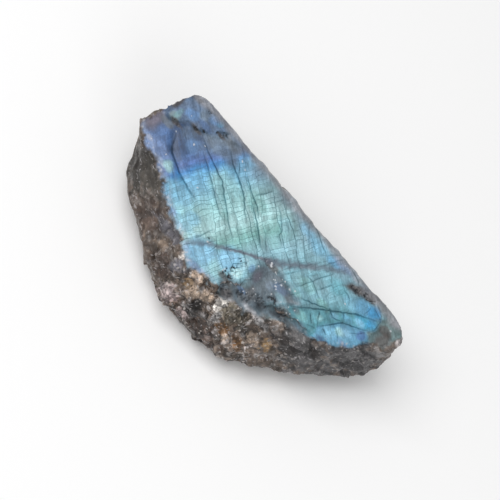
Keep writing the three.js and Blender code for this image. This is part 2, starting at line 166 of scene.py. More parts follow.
# Finish of the stone: smoothest and roughest place, gloss, bump on the flank and on the face, and grains
FLANK_ROUGHNESS = (0.30, 0.60)
FACE_ROUGHNESS = (0.3, 0.7)
GLOSS = 0.4
BUMP_HEIGHT = 0.2
BUMP_STRENGTHS = (0.5, 0.05)
COARSE_GRAIN, FINE_GRAIN = 1.3, 0.4
SPLINTER_TURNS = (0.9, -0.5)
CRAZE_WAVES = ((0.14, 3.0), (0.6, 0.35), (2.5, 0.12))  # waves in a millimetre, and how far they reach
BRICK_SHIFT = 40.0  # most by which the bricks of one strip are shifted against the next

# The studio, in metres: place, side and power of each softbox, the bright surround and the floor
SOFTBOXES = {
    "key": ((-0.25, -0.1, 0.55), 0.5, 2.6),
    "fill": ((0.35, -0.35, 0.35), 0.4, 0.7),
}
SURROUND_STRENGTH = 0.40
FLOOR_SIZE = 4.0
FLOOR_ROUGHNESS = 0.9
NEAREST_SEEN = 0.01

# Flash of the face in bands across the long split: millimetres along it, and the paint there
FLASH_BANDS = (
    (-23, "dusk"), (-19.6, "dusk"), (-17.8, "indigo"), (-16.2, "violet blue"), (-15, "royal blue"),
    (-13.8, "azure"), (-11, "sky"), (-7.6, "aqua"), (-3.4, "pale aqua"), (-0.6, "sea green"),
    (3.2, "steel aqua"), (8, "grey teal"), (15, "grey teal"), (18.6, "teal"), (21.6, "azure"),
)

# Patches over the bands: paint, cover, along, up, and half the length and width of the patch
FLASH_PATCHES = (
    ("indigo", 0.85, -25.6, -0.6, 2.4, 1.8), ("slate blue", 0.85, -22.4, 3.6, 1.8, 1.8),
    ("cap blue", 0.8, -20.2, 2.2, 1.6, 1.4), ("haze", 0.85, -17.2, 6, 4.6, 2.2),
    ("slate blue", 0.5, -18.2, 3.4, 1.6, 1), ("slate blue", 0.6, -14.4, 5.4, 2.8, 1.4),
    ("royal blue", 0.7, -14.6, 2.2, 1.4, 1), ("slate", 0.8, -15.2, 7.8, 2.4, 1),
    ("periwinkle", 0.95, -24.6, -2.9, 3.6, 1.5), ("lilac grey", 0.9, -29, 0.4, 2, 2.4),
    ("periwinkle", 0.6, -19.8, -5.6, 1, 1.2), ("sky", 0.7, -18, -6, 2, 1.2),
    ("sky", 0.6, -14.8, -6, 2.4, 1.2), ("sky", 0.6, -12.2, -9.2, 2.8, 1.1),
    ("sky", 0.7, -11, -7.3, 1.8, 1.2), ("royal blue", 0.6, -14.6, -9.2, 1.2, 0.6),
    ("aqua", 0.75, -11, 1, 3.6, 2.6), ("sea green", 0.6, -4.6, 3.2, 2.4, 1.6),
    ("sea green", 0.5, -7.2, -2.6, 1.2, 1), ("sea green", 0.4, 2.8, 0.3, 1.2, 1),
    ("steel aqua", 0.6, 1.6, 4.4, 1.6, 1.4), ("bright sky", 0.75, 5.2, 6.8, 2, 1.3),
    ("moss", 0.35, 10.5, -1, 1.6, 1.2), ("bright sky", 0.95, -5.6, -10.4, 3.2, 2.8),
    ("aqua", 0.6, -1.6, -10.6, 1.6, 1.6), ("azure", 0.45, -7.4, -12, 1.8, 1),
    ("violet blue", 0.55, -4.6, -13.2, 2.8, 0.7), ("bright sky", 0.95, -1.2, -7.6, 2.4, 2.4),
    ("pale aqua", 0.75, 1.6, -8.4, 1.2, 1), ("sky", 0.8, 8.6, 6.2, 2.6, 1.5),
    ("azure", 0.75, 12.4, 6, 1.8, 0.9), ("cap blue", 0.6, 14.4, 7, 2.8, 0.9),
    ("steel aqua", 0.6, 13.6, 0.8, 2.4, 1.4), ("teal", 0.75, 16.6, 3.2, 2.4, 1.4),
    ("sky", 0.6, 20.6, 2.9, 2.6, 1.2), ("slate blue", 0.8, 19.8, 7, 1, 0.5),
    ("azure", 0.85, 22.6, 4.2, 2.6, 1.6), ("deep blue", 0.85, 24.2, 4.9, 1.5, 1.3),
)

# Edges of the two lowest split plates at the right end
MIDDLE_PLATE_EDGE = (
    (12.5, -5.6), (14.5, -3.8), (16.5, -2.1), (18.4, -0.6), (20.6, 1.2), (22, 2.4), (23.8, 3.3), (25.9, 4.4),
)
LOWEST_PLATE_EDGE = (
    (18.7, -4.3), (19.9, -2.6), (20.8, -1.2), (21.7, -0.3), (23, 0.3), (24.4, 1.1), (25.6, 1.8),
)

# Parts of the face with a paint of their own: paint, cover, width of the fading edge, how far the fine
# cracks are missing, and outline
FACE_AREAS = (
    ("cap grey", 0.95, 0.5, 0.9, (
        (-28.4, 2.4), (-26.2, 2.7), (-25, 3.4), (-24.2, 4.5), (-22.3, 4.6), (-20.9, 5.4),
        (-19.3, 6.2), (-18.6, 7.7), (-17.2, 8.9), (-17, 12), (-24, 13), (-30, 10),
    )),
    ("slate", 0.92, 1.3, 0.9, (
        (0.2, -11.4), (2.4, -9.8), (4, -8.2), (3, -5.8), (4, -2.8), (6, -2), (8.5, -2.8),
        (11.5, -3.4), (14, -4), (12.3, -5.9), (9, -8.2), (9.6, -13.4), (2.6, -14.6),
    )),
    ("deep teal", 0.8, 0.4, 0.5, (
        *MIDDLE_PLATE_EDGE, (26.4, 2.8), (24.4, 1.1), (23, 0.3), (20.8, -1.2), (18.7, -4.3), (18.2, -5.6),
        (15.6, -6.5), (13.8, -6.9),
    )),
    ("plate blue", 0.85, 0.35, 0.5, (
        *LOWEST_PLATE_EDGE, (27.2, 0.2), (25.4, -3.4), (22.8, -6), (20, -7), (19, -5.6),
    )),
    ("moss", 0.9, 0.35, 0.8, (
        (25.7, 1.5), (26.5, 2.8), (26.2, 4.7), (25.2, 5.7), (23.4, 6.9), (24, 8.4), (30, 8.4),
        (32, 5.2), (30.4, 1), (27.5, 0.4),
    )),
    ("slate", 0.85, 0.7, 0.9, (
        (8.2, -8.8), (12, -7.2), (16, -6.3), (20, -6.9), (24, -6.4), (24, -9), (16, -14),
        (8.6, -14),
    )),
    ("umber", 0.95, 0.5, 0.9, (
        (16.4, 4.2), (18, 4.6), (19.8, 5), (21.4, 5.6), (22.9, 6.2), (23.6, 7.2), (23.4, 8.6),
        (21.4, 8), (20.4, 6.9), (19, 6.5), (17.4, 5.7),
    )),
)

# Smaller touches: paint, cover, along, up, half length and half width
FACE_TOUCHES = (
    ("moss", 0.65, -27, 3.5, 0.6, 0.9), ("moss", 0.5, -25.9, 3.7, 0.5, 0.7),
    ("sea green", 0.3, -26.4, 4.4, 0.5, 1.2), ("sky", 0.6, -20.6, -3.8, 1.6, 1),
    ("pale aqua", 0.75, -20.8, -3.9, 1.2, 0.9), ("rim lilac and highlight", 0.7, -22.6, -4.1, 0.9, 0.6),
    ("cap blue", 0.85, -24.5, 6.2, 1.3, 1.1), ("haze", 0.75, -22.7, 8, 1.1, 1.2),
    ("azure", 0.5, -19.6, 8.7, 0.7, 1.1), ("cap blue", 0.6, -20.9, 8.4, 1, 1),
    ("indigo", 0.55, -21.2, 6.2, 1.6, 0.7), ("umber", 0.85, -28, 6.2, 0.9, 2.4),
    ("umber", 0.7, -26.6, 9, 1.4, 0.8), ("slate", 0.75, -26.6, 1.8, 1.4, 0.8),
    # The umber touches at -25.3, -22 and -18.6 along the cap's lower edge are partly dark crumbs and partly
    # painted shadow under the raised cap
    ("umber", 0.8, -25.3, 2.9, 1.3, 0.45), ("umber", 0.85, -22, 4.7, 1.4, 0.45),
    ("umber", 0.85, -18.6, 7.3, 1.4, 0.45), ("shadow", 0.6, -22.4, 9.2, 0.5, 0.3),
    ("edge grey", 0.55, -26.8, -2.6, 0.8, 0.5), ("umber", 0.75, 5, -2.8, 1.6, 0.6),
    ("umber", 0.8, 1, -10.6, 2, 0.6), ("umber", 0.5, 5.6, -8.6, 1.8, 1),
    ("lilac grey", 0.6, 4.6, -5.6, 1, 1.4), ("cap blue", 0.45, 3, -5.8, 0.6, 0.8),
    ("haze", 0.6, 7.4, -5.3, 1.2, 0.8), ("slate blue", 0.75, 9.4, -4.4, 1.8, 0.9),
    ("grey teal", 0.4, 10.6, -5.6, 1.6, 0.7), ("cap blue", 0.55, 4.3, -9.7, 1.2, 0.4),
    ("shadow", 0.7, 5.4, -10.4, 1.8, 0.9), ("shadow", 0.75, 8.2, -8.8, 2.2, 1.1),
    ("shadow", 0.8, 11.8, -7.8, 2.4, 0.9), ("umber", 0.7, 18, -7.6, 4, 0.7),
    ("moss", 0.75, 12.4, -9.6, 1.6, 0.6), ("umber", 0.7, 12.5, -6.9, 1.6, 0.8),
    ("umber", 0.8, 3.2, -12.2, 2, 1), ("haze", 0.5, 16.3, -6.6, 1.4, 0.6),
    ("edge grey", 0.9, 5, -12.5, 1.8, 0.7), ("edge grey", 0.85, 8.4, -11, 2.2, 0.6),
    ("shadow", 0.8, 18.6, 5.2, 1.2, 0.3), ("shadow", 0.8, 21.2, 6.2, 1.4, 0.3),
    ("sea green", 0.65, 16.6, -1, 1.8, 0.7), ("sea green", 0.45, 12.2, -0.6, 2, 1.2),
    ("sea green", 0.5, 12, -3, 1.2, 0.6), ("sea green", 0.5, 15.2, -5.2, 1.6, 0.9),
    ("aqua", 0.6, 22, -2.2, 1.2, 0.8), ("sky", 0.65, 19.4, -0.8, 1, 0.7),
    ("grey teal", 0.6, 14.9, -2.8, 1.4, 0.7), ("slate", 0.65, 13.8, -5.2, 1, 0.7),
    ("azure", 0.45, 21.4, 0.6, 1.2, 0.7), ("lagoon", 0.9, 24.2, 2.4, 1.8, 1),
    ("deep blue", 0.6, 25.4, 3.2, 0.9, 1.2), ("deep teal", 0.8, 18.4, -5.4, 0.9, 1),
    ("sky", 0.8, 20.8, -3.4, 1.4, 1.2), ("sky", 0.5, 23.8, -2.6, 1.2, 0.8),
    ("bright sky", 0.9, 23.1, -1.4, 1.1, 0.8), ("pale aqua", 0.45, 22.3, -2, 1.2, 0.7),
    ("aqua", 0.55, 17.9, -3, 0.6, 0.6), ("bright sky", 0.6, 23.6, 1.7, 1, 0.6),
    ("violet blue", 0.65, 25.5, 0.3, 1, 0.9), ("periwinkle", 0.55, 24.2, -3.2, 1.8, 0.5),
    ("dusk", 0.75, 21.2, -5.6, 1.8, 0.6), ("grey teal", 0.75, 25.9, 5.8, 0.7, 0.7),
    ("edge grey", 0.65, 28, 6.6, 1.4, 0.7), ("umber", 0.85, 28.9, 2.4, 1.7, 1.6),
    ("umber", 0.75, 27.8, 4.2, 1.7, 0.7),
)

# Open cracks: strength, half width and route, first the long family and then the one that crosses it
LONG_CRACKS = (
    (0.95, 0.24, (
        (-24.2, 2), (-23.7, 1), (-22.7, -0.8), (-22, -1.5), (-18.5, -3.1), (-15.5, -4),
        (-12.8, -4.6),
    )),
    (0.6, 0.11, ((-21, -2.9), (-19.5, -3.9), (-16.5, -5.8), (-14, -7.2))),
    (0.9, 0.13, ((-18.5, 3), (-17, 2.1), (-13.2, 0), (-10, -2), (-8.2, -3), (-6.5, -3.6))),
    (0.6, 0.11, ((-8, -3.2), (-7, -4.3), (-5, -6))),
    (1, 0.15, (
        (-20.5, 4.8), (-17.5, 3.4), (-14.6, 2.4), (-12, 1.5), (-8.5, -1.1), (-5, -3.6), (-2.3, -5.2),
    )),
    (1, 0.15, ((-15, 6.7), (-13, 5.3), (-9.5, 3.7), (-7.5, 2.5), (-5.5, 0.8), (-3.5, -0.7))),
    (1, 0.15, ((-10, 5.9), (-8, 4.6), (-6, 3.6), (-4.3, 2.9), (-3, 1.8), (-2.4, 1.4))),
    (1, 0.15, ((-6, 3), (-4.3, 2), (-2.5, 0.9), (-0.5, -0.5), (1, -1.7), (1.8, -2.2))),
    (0.7, 0.11, ((0.3, 0.3), (1.6, -0.9), (2.8, -1.8))),
    (0.6, 0.11, ((-11.8, -5.7), (-10, -7), (-7.7, -8.4))),
    (0.9, 0.13, ((-2, 6), (-0.5, 5.1), (0.7, 4.2), (1.9, 3), (2.1, 2.2), (3.8, 1))),
    (0.6, 0.11, ((-1.9, 7.9), (-0.3, 6.3), (0.3, 5.8))), (0.6, 0.11, ((1, 5.4), (3, 3.8))),
    (0.8, 0.11, ((4.5, 7.8), (5.7, 6.3), (7.2, 4.8), (8, 4.1))),
    (0.9, 0.12, ((5.2, 8.5), (7.3, 7.5), (9, 6.6), (10.7, 5.9))),
    (0.8, 0.11, ((17.5, 3.9), (19, 3.4), (20, 2.3))), (0.8, 0.11, ((23.5, 5.6), (25.3, 4.9), (26.2, 4.2))),
    (0.8, 0.12, ((15.5, 7.6), (17, 7.2), (18, 6.9), (19, 6.1))),
    (0.6, 0.12, ((-25.9, 9.1), (-24.4, 8.1), (-22.8, 6.8))),
    (0.6, 0.12, ((-22.3, 9.3), (-20.6, 8.8), (-19.4, 7.7))),
    (0.9, 0.11, ((10.6, 0.7), (12.3, 0.7), (13.7, 0), (15.5, -0.8))),
    (0.6, 0.11, ((12.5, -3.3), (13.8, -3.8))), (1, 0.14, ((16.8, -2.1), (18, -3.6))),
    (1, 0.14, ((17.6, -0.6), (19.4, -1.1))), (0.95, 0.13, ((15.9, -3.5), (17.5, -4.9))),
    (0.95, 0.13, ((20.1, 0.9), (21.3, -0.2))), (0.95, 0.13, ((19, -1.3), (20, -1), (21, -0.5))),
    (0.95, 0.13, ((19.4, -3.8), (21, -4.3))), (0.8, 0.11, ((20.4, -1.8), (22.2, -2.6), (23, -3.5))),
    (0.8, 0.12, ((17.3, 3.8), (18.6, 3.6), (19.8, 2.6))),
)
CROSS_CRACKS = (
    (0.7, 0.11, ((-17.7, -2.2), (-16.8, -0.5), (-16, 1.2))), (0.6, 0.11, ((-20, 0.2), (-19, 2.2))),
    (0.7, 0.11, ((-13, -2.6), (-11.9, -0.9))), (0.6, 0.11, ((-9.9, 0.3), (-9, 2.3))),
    (0.6, 0.11, ((-6.9, -1.9), (-6, 0.2))), (0.9, 0.12, ((-6, 4), (-5, 6), (-4.4, 7.2))),
    (0.6, 0.11, ((-3, 5.5), (-1.9, 7.4))), (0.6, 0.11, ((-1, 3), (-0.1, 4.7))),
    (0.6, 0.11, ((0, 0.5), (0.4, 3))), (0.6, 0.11, ((-10.9, -8), (-10, -5.8))),
    (0.9, 0.12, ((-8.2, -9.7), (-7.6, -8.2), (-6.9, -5.9))),
    (0.75, 0.11, ((7.7, -2.5), (8.7, -0.5), (9.8, 1.1))),
    (0.9, 0.12, ((10.8, -2.5), (11.6, -0.7), (12.6, 1.7), (14, 4.7))),
    (0.85, 0.11, ((13.9, 0), (14.8, 1.7), (15.3, 3.4))),
    (0.75, 0.11, ((11.4, 3.8), (12.3, 5.6), (13.1, 7.3))), (0.75, 0.11, ((11.1, -4.2), (12.2, -2.2))),
    (0.75, 0.11, ((22.9, 3.1), (23.1, 5.1))), (0.8, 0.11, ((23.4, -0.9), (24.9, 0.3), (25.5, 1.4))),
    (0.7, 0.11, ((16.9, -5.6), (18.5, -5))), (0.7, 0.11, ((17.3, -3), (18.9, -4.6))),
)

# Run of the cracks: how far they waver and in waves of what length, how far away one still darkens the face,
# and the wobble and half width of a hairline
CRACK_WAVER, CRACK_WAVES = 0.12, 0.9
CRACK_REACH = 1.5
HAIRLINE_TURN, HAIRLINE_BEND = 0.10, 0.10
HAIRLINE_WIDTH = 0.10

# Edges of the split plates, where the flash stops in a dark line, with painted shade on its left where the
# step of the edge would cast shadow
PLATE_SHADE, PLATE_SHADE_REACH = 0.35, 1.2
PLATE_EDGES = (
    (0.6, 0.3, ((-23, 5), (-24.2, 4.6), (-25, 3.5), (-26, 2.8), (-27, 2.5), (-28.2, 2.6))),
    (0.7, 0.3, ((-19.3, 6.2), (-20, 5.8), (-20.9, 5.4), (-22.3, 4.5), (-23.4, 4.6))),
    (0.7, 0.3, ((-17.2, 8.9), (-18.6, 7.7), (-19.4, 6.9))),
    (0.6, 0.4, ((-13.8, 8.9), (-16.2, 7.6))),
    (1, 0.16, ((12.7, -3.1), (14.8, -2.3), (16.8, -1.3), (18.3, -0.5))),
    (1, 0.17, MIDDLE_PLATE_EDGE),
    (1, 0.17, LOWEST_PLATE_EDGE),
    (0.85, 0.12, ((23.1, 6.6), (25.1, 5.6), (26, 4.7), (26.4, 2.8), (25.7, 1.7))),
    (0.45, 0.45, (
        (22, -5.6), (20, -6.3), (18, -6.5), (16, -6.2), (14, -6.7), (12, -7.2), (8, -8.9),
    )),
)

# Healed fracture across the whole face: along, up, half width and strength
HEALED_FRACTURE = (
    (-8.5, -11, 0.8, 0.55), (-5, -8, 0.6, 0.65), (-1, -5.4, 0.4, 0.9), (3, -3.2, 0.45, 0.9),
    (6, -1.3, 1, 0.8), (8.8, 1.2, 0.9, 0.85), (11, 3.2, 0.8, 0.7), (15, 6.3, 0.6, 0.5),
)

# Hairline cracks: number, direction, shortest and longest, faintest and strongest, and the lowest and highest
# place along and up, first over the whole face and then for the larger blocks of the right end
HAIRLINES = (
    (70, LONG_SPLIT, 2, 8, 0.15, 0.5, (-27, -11), (25, 9)),
    (60, CROSS_SPLIT, 1, 4, 0.15, 0.5, (-27, -11), (25, 9)),
    (16, LONG_SPLIT, 1.5, 4, 0.3, 0.65, (6, -4), (22, 7)),
    (24, CROSS_SPLIT, 2, 5, 0.3, 0.65, (6, -4), (20, 7)),
)

# Clusters of small white crystals: number, lowest and highest place along and up, smallest and largest radius
CRYSTAL_CLUSTERS = (
    (30, (3.5, -12), (12, -3), 0.05, 0.12),
    (7, (7, -5.6), (10, -4), 0.06, 0.13),
    (6, (4.8, -3.2), (6.6, -2.2), 0.08, 0.18),
    (10, (11, -7.6), (17, -5.4), 0.05, 0.1),
    (7, (-0.6, -10.4), (2.6, -8.2), 0.06, 0.14),
    (6, (5, -12.6), (9, -10.6), 0.07, 0.16),
)

# Crumbly places full of small black pits: along, up, half length and half width
CRUMBLY_PLACES = (
    (-22.4, 4.8, 0.7, 0.25), (-20.9, 5.5, 0.8, 0.3), (-18.9, 7.1, 0.6, 0.35), (-17.8, 8, 0.7, 0.3),
    (-22.4, 8.9, 0.6, 0.4), (-25.6, 3, 1, 0.4), (-6.2, -8, 0.7, 0.5), (-0.2, -9.7, 0.6, 0.8),
    (1.2, -9.9, 1, 0.6), (0.8, -8.1, 0.7, 0.8), (0.9, -6.2, 0.9, 0.6), (4.6, -2.8, 1.2, 0.6),
    (2.6, -11.8, 1.6, 0.8), (5.4, -10.2, 1.6, 0.9), (8.2, -8.6, 2, 0.7), (9.6, -6.8, 1.6, 0.6),
    (13, -7.4, 2.2, 0.7), (18.8, 5.4, 1.6, 0.6), (21.4, 6.2, 1.6, 0.7),
)

# How a spot is turned, stretched and faded at its edge, how patches are faded, and which lumps are pits
SPOT_TURN = 9.0
SPOT_STRETCH = (0.75, 1.3)
SPOT_FADE = (0.6, 1.2)
PATCH_FADE = (0.5, 1.3)
FLANK_PATCH_FADE = (0.7, 1.2)
PIT_LUMPS = (0.05, 0.25)

# Single white specks, partly painted glints where small fractures catch the light: along, up and radius
SPECKS_AND_GLINTS = (
    (-24.3, 1.8, 0.1), (-20.4, 2.5, 0.16), (-18.8, 3.8, 0.09), (-26.4, -2.5, 0.12), (-22.5, -2.5, 0.1),
    (-24.4, 5.7, 0.08), (-16, 5.7, 0.08), (-12.2, 6.9, 0.18), (-10.7, 6.1, 0.12), (-14.3, -2.7, 0.16),
    (14.3, 7.2, 0.12), (10.3, -3.4, 0.16), (11.3, -3, 0.12), (8.8, -3, 0.12), (7.5, -11.3, 0.26),
    (19.2, 2.1, 0.16), (-6, -8.3, 0.16), (28.6, 4.9, 0.2),
)

# Paints of the rough flank
FLANK_PAINTS = {
    "brown": (0.106, 0.081, 0.065), "chocolate": (0.064, 0.042, 0.034),
    "olive": (0.048, 0.044, 0.038), "moss grey": (0.15, 0.134, 0.104),
    "charcoal_and_shade": (0.06, 0.06, 0.064), "slate": (0.115, 0.115, 0.135),
    "russet": (0.145, 0.094, 0.07), "white": (0.82, 0.77, 0.72),
    "grey": (0.32, 0.31, 0.31), "tan": (0.46, 0.355, 0.275),
    "gold": (0.25, 0.16, 0.078), "amber": (0.13, 0.064, 0.022),
    "pink": (0.36, 0.29, 0.285), "black": (0.02, 0.016, 0.015),
    # the frost paint is partly frost on the ridges and partly a painted highlight there
    "frost_and_ridge_highlight": (0.5, 0.48, 0.49), "cleavage": (0.112, 0.102, 0.096),
}

# Patches of the rough flank as the camera sees them, the wide ones first: paint, cover, along,
# up the picture, half length and half width
FLANK_PATCHES = (
    ("olive", 0.85, -23, -7, 6, 4.2), ("black", 0.6, -26.4, -6, 2, 2.6),
    ("chocolate", 0.7, -16.6, -12.4, 4, 2.6), ("chocolate", 0.75, -9.3, -16.6, 2.8, 2),
    ("chocolate", 0.75, 4, -20.2, 5, 2.2), ("moss grey", 0.75, 6.6, -14, 3, 2.4),
    # The two charcoal patches darken the right end: partly the stone's own dark grey, partly painted shade
    # away from the lights
    ("charcoal_and_shade", 0.85, 20.5, -9.2, 5.5, 4), ("charcoal_and_shade", 0.9, 27, -3.6, 6, 5),
    ("slate", 0.8, -12, -11.4, 3.4, 1.3), ("slate", 0.85, -6.6, -15, 1.3, 1.6),
    ("tan", 0.55, -11.6, -14.6, 1.2, 0.9), ("russet", 0.6, -1.9, -19.7, 1.2, 1),
    ("white", 0.85, -3.4, -11.8, 1, 1), ("tan", 0.85, -3.2, -13.6, 1.3, 1),
    ("slate", 0.6, -4.8, -13.6, 0.7, 0.8), ("tan", 0.9, -1.8, -16.2, 1.6, 1.4),
    ("gold", 0.6, -3.3, -15.9, 0.7, 1), ("tan", 0.65, 0.9, -15, 1.2, 0.9),
    ("white", 0.9, 3.6, -14.3, 0.9, 1.7), ("grey", 0.75, 4.7, -16.4, 0.7, 1.3),
    ("white", 0.6, -7.3, -12.5, 0.6, 1.1), ("pink", 0.8, -4.5, -19.6, 1.9, 1.5),
    ("pink", 0.7, 0.2, -20.5, 1.4, 0.9), ("black", 0.9, 0.9, -17.8, 1.3, 1.5),
    ("black", 0.75, 4.6, -20.9, 1.5, 1), ("amber", 0.9, 7.2, -16.9, 1.6, 1.2),
    ("amber", 0.7, 10.7, -17, 1.6, 1), ("tan", 0.7, 8.7, -17.8, 1, 0.8),
    ("tan", 0.75, 12.2, -14.2, 1.3, 1), ("gold", 0.9, 14.7, -13.5, 1.2, 1.1),
    ("grey", 0.8, 7.4, -10.9, 1, 0.7), ("grey", 0.7, 10.6, -11.1, 2, 0.6),
    ("black", 0.9, 17, -11, 2.6, 1.6), ("black", 0.8, 22.2, -7.9, 1.5, 0.9),
    ("grey", 0.35, 18, -8.1, 0.9, 0.6), ("grey", 0.45, 29.4, 0.2, 1.2, 0.8),
    ("white", 0.8, 28.6, 4.7, 0.4, 0.4),
)


def smoothstep(low, high, value):
    """A smooth rise from 0 at low to 1 at high."""
    share = np.clip((value - low) / (high - low), 0.0, 1.0)
    return share * share * (3.0 - 2.0 * share)


def mix(first, second, share):
    """Blends two colours by a share for each vertex."""
    return first + share[:, None] * (np.array(second) - first)


def lattice_random(cells, salt):
    """A repeatable number from 0 to 1 for each cell."""
    weights = HASH_WEIGHTS[:cells.shape[1]]
    wave = np.sin(cells @ weights + salt * HASH_SALT) * HASH_SCALE
    return wave - np.floor(wave)


def broken_facets(points, cell_size, salt):
    """A hackly surface: the height of each point's own tilted facet, and a number for that facet."""
    scaled = points / cell_size
    base = np.floor(scaled)
    nearest = np.full(len(points), np.inf)
    height = np.zeros(len(points))
    facet = np.zeros(len(points))
    for z, y, x in product((-1, 0, 1), repeat=3):
        cells = base + np.array((x, y, z))
        away = scaled - cells - np.stack([lattice_random(cells, salt + c) for c in (1, 2, 3)], axis=1)
        distance = np.einsum("ij,ij->i", away, away)
        closer = distance < nearest
        nearest = np.where(closer, distance, nearest)
        tilt = 2.0 * np.stack([lattice_random(cells, salt + c) for c in (4, 5, 6)], axis=1) - 1.0
        number = lattice_random(cells, salt + 7)
        level = FACET_STEP * (number - 0.5) + FACET_SLOPE * np.einsum("ij,ij->i", tilt, away)
        height = np.where(closer, cell_size * level, height)
        facet = np.where(closer, number, facet)
    return height, facet


def smooth_noise(points, size, salt):
    """Soft noise from about -1 to 1 with lumps of that size. Each salt gives another pattern."""
    shift = NOISE_SHIFT * salt
    return np.array([noise.noise(Vector(p) / size + shift) for p in points])


def route_stops(route):
    """How far along a line each of its points lies."""
    steps = np.hypot(*np.diff(np.array(route), axis=0).T)
    return np.concatenate(([0.0], np.cumsum(steps)))


def distance_to_route(along, up, route):
    """Distance on the face to a line through points, the share of it passed there, and 1 on its left."""
    stops = route_stops(route)
    nearest = np.full(len(along), np.inf)
    passed = np.zeros(len(along))
    left = np.zeros(len(along))
    for (x0, y0), (x1, y1), start in zip(route, route[1:], stops):
        dx, dy = x1 - x0, y1 - y0
        step = math.hypot(dx, dy)
        share = np.clip(((along - x0) * dx + (up - y0) * dy) / (step * step), 0.0, 1.0)
        gap = np.hypot(along - x0 - share * dx, up - y0 - share * dy)
        closer = gap < nearest
        passed = np.where(closer, start + share * step, passed)
        left = np.where(closer, dx * (up - y0) > dy * (along - x0), left)
        nearest = np.minimum(nearest, gap)
    return nearest, passed / stops[-1], left


def depth_inside(along, up, outline):
    """Distance to an outline on the face, positive inside it and negative outside."""
    closed = tuple(outline) + (outline[0],)
    inside = np.zeros(len(along), bool)
    for (x0, y0), (x1, y1) in zip(closed, closed[1:]):
        if y0 != y1:
            crosses = (y0 > up) != (y1 > up)
            inside ^= crosses & (along < x0 + (up - y0) * (x1 - x0) / (y1 - y0))
    distance = distance_to_route(along, up, closed)[0]
    return np.where(inside, distance, -distance)


def face_axes(points):
    """Points as millimetres along the stone, up its polished face and out of it."""
    along = points[:, 0] + CENTRE[0]
    back = points[:, 1] + CENTRE[1]
    high = points[:, 2] - FACE_HEIGHT
    up = back * math.cos(FACE_TILT) + high * math.sin(FACE_TILT)
    out = high * math.cos(FACE_TILT) - back * math.sin(FACE_TILT)
    return along, up, out


def seen_height(points):
    """How far up the picture a point lies, in millimetres from the middle of the face."""
    back = points[:, 1] + CENTRE[1]
    return back * math.sin(ELEVATION) + (points[:, 2] - FACE_HEIGHT) * math.cos(ELEVATION)


def vertex_arrays(mesh):
    """Places and normals of a mesh's vertices."""
    points = np.empty(len(mesh.vertices) * 3, np.float32)
    normals = np.empty(len(mesh.vertices) * 3, np.float32)
    mesh.vertices.foreach_get("co", points)
    mesh.vertices.foreach_get("normal", normals)
    return points.reshape(-1, 3).astype(float), normals.reshape(-1, 3).astype(float)


def even_copy_of(node):
    """The solid of a node as a new piece, in millimetres, with small even faces."""
    mesh = node.data.copy()
    mesh.transform(Matrix.Scale(PER_METRE, 4) @ node.matrix_world)
    mesh.materials.clear()
    piece = bpy.data.objects.new("labradorite_stone", mesh)
    bpy.context.collection.objects.link(piece)
    remesh = piece.modifiers.new("even faces", "REMESH")
    remesh.mode = "VOXEL"
    remesh.voxel_size = VOXEL
    even = bpy.data.meshes.new_from_object(piece.evaluated_get(bpy.context.evaluated_depsgraph_get()))
    piece.modifiers.clear()
    piece.data = even
    return piece


def refine_face(mesh):
    """Halves the faces of the polished surface, so that it can carry fine cracks."""
    work = bmesh.new()
    work.from_mesh(mesh)
    centres = np.array([face.calc_center_median() for face in work.faces])
    normals = np.array([face.normal for face in work.faces])
    along, up, out = face_axes(centres)
    inside = depth_inside(along, up, RIM) > FINEST_RIM
    polished = inside & (normals @ FACE_NORMAL > FINEST_SLOPE) & (out > FINEST_DEPTH)
    edges = {edge for face, chosen in zip(work.faces, polished) if chosen for edge in face.edges}
    bmesh.ops.subdivide_edges(work, edges=list(edges), cuts=1, use_grid_fill=True)
    bmesh.ops.triangulate(work, faces=work.faces)
    work.to_mesh(mesh)
    work.free()


def polish_of(points, normals):
    """1 on the polished face and 0 on the rough flank."""
    along, up, out = face_axes(points)
    ragged = sum(reach * smooth_noise(points, size, salt) for reach, size, salt in RIM_CRUMBS)
    inside = smoothstep(*POLISH_AT_RIM, depth_inside(along, up, RIM) + ragged)
    flat = smoothstep(*POLISH_ON_SLOPES, normals @ FACE_NORMAL)
    return inside * flat * smoothstep(*POLISH_IN_DEPTHS, out)


def neighbour_means(mesh, points):
    """The middle of each vertex's neighbours."""
    ends = np.empty(len(mesh.edges) * 2, np.int32)
    mesh.edges.foreach_get("vertices", ends)
    here, there = np.vstack((ends.reshape(-1, 2), ends.reshape(-1, 2)[:, ::-1])).T
    count = np.bincount(here, minlength=len(points))
    totals = [np.bincount(here, channel[there], len(points)) for channel in points.T]
    return np.stack(totals, axis=1) / count[:, None]


def hairlines():
    """Short straight cracks in the two cleavage directions, spread over the face."""
    random = np.random.default_rng(SEED)
    for count, direction, shortest, longest, faintest, strongest, lowest, highest in HAIRLINES:
        for _ in range(count):
            middle = random.uniform(lowest, highest)
            angle = direction + random.normal(0.0, HAIRLINE_TURN)
            half = 0.5 * random.uniform(shortest, longest) * np.array((math.cos(angle), math.sin(angle)))
            route = (middle - half, middle + random.normal(0.0, HAIRLINE_BEND, 2), middle + half)
            yield random.uniform(faintest, strongest), HAIRLINE_WIDTH, route


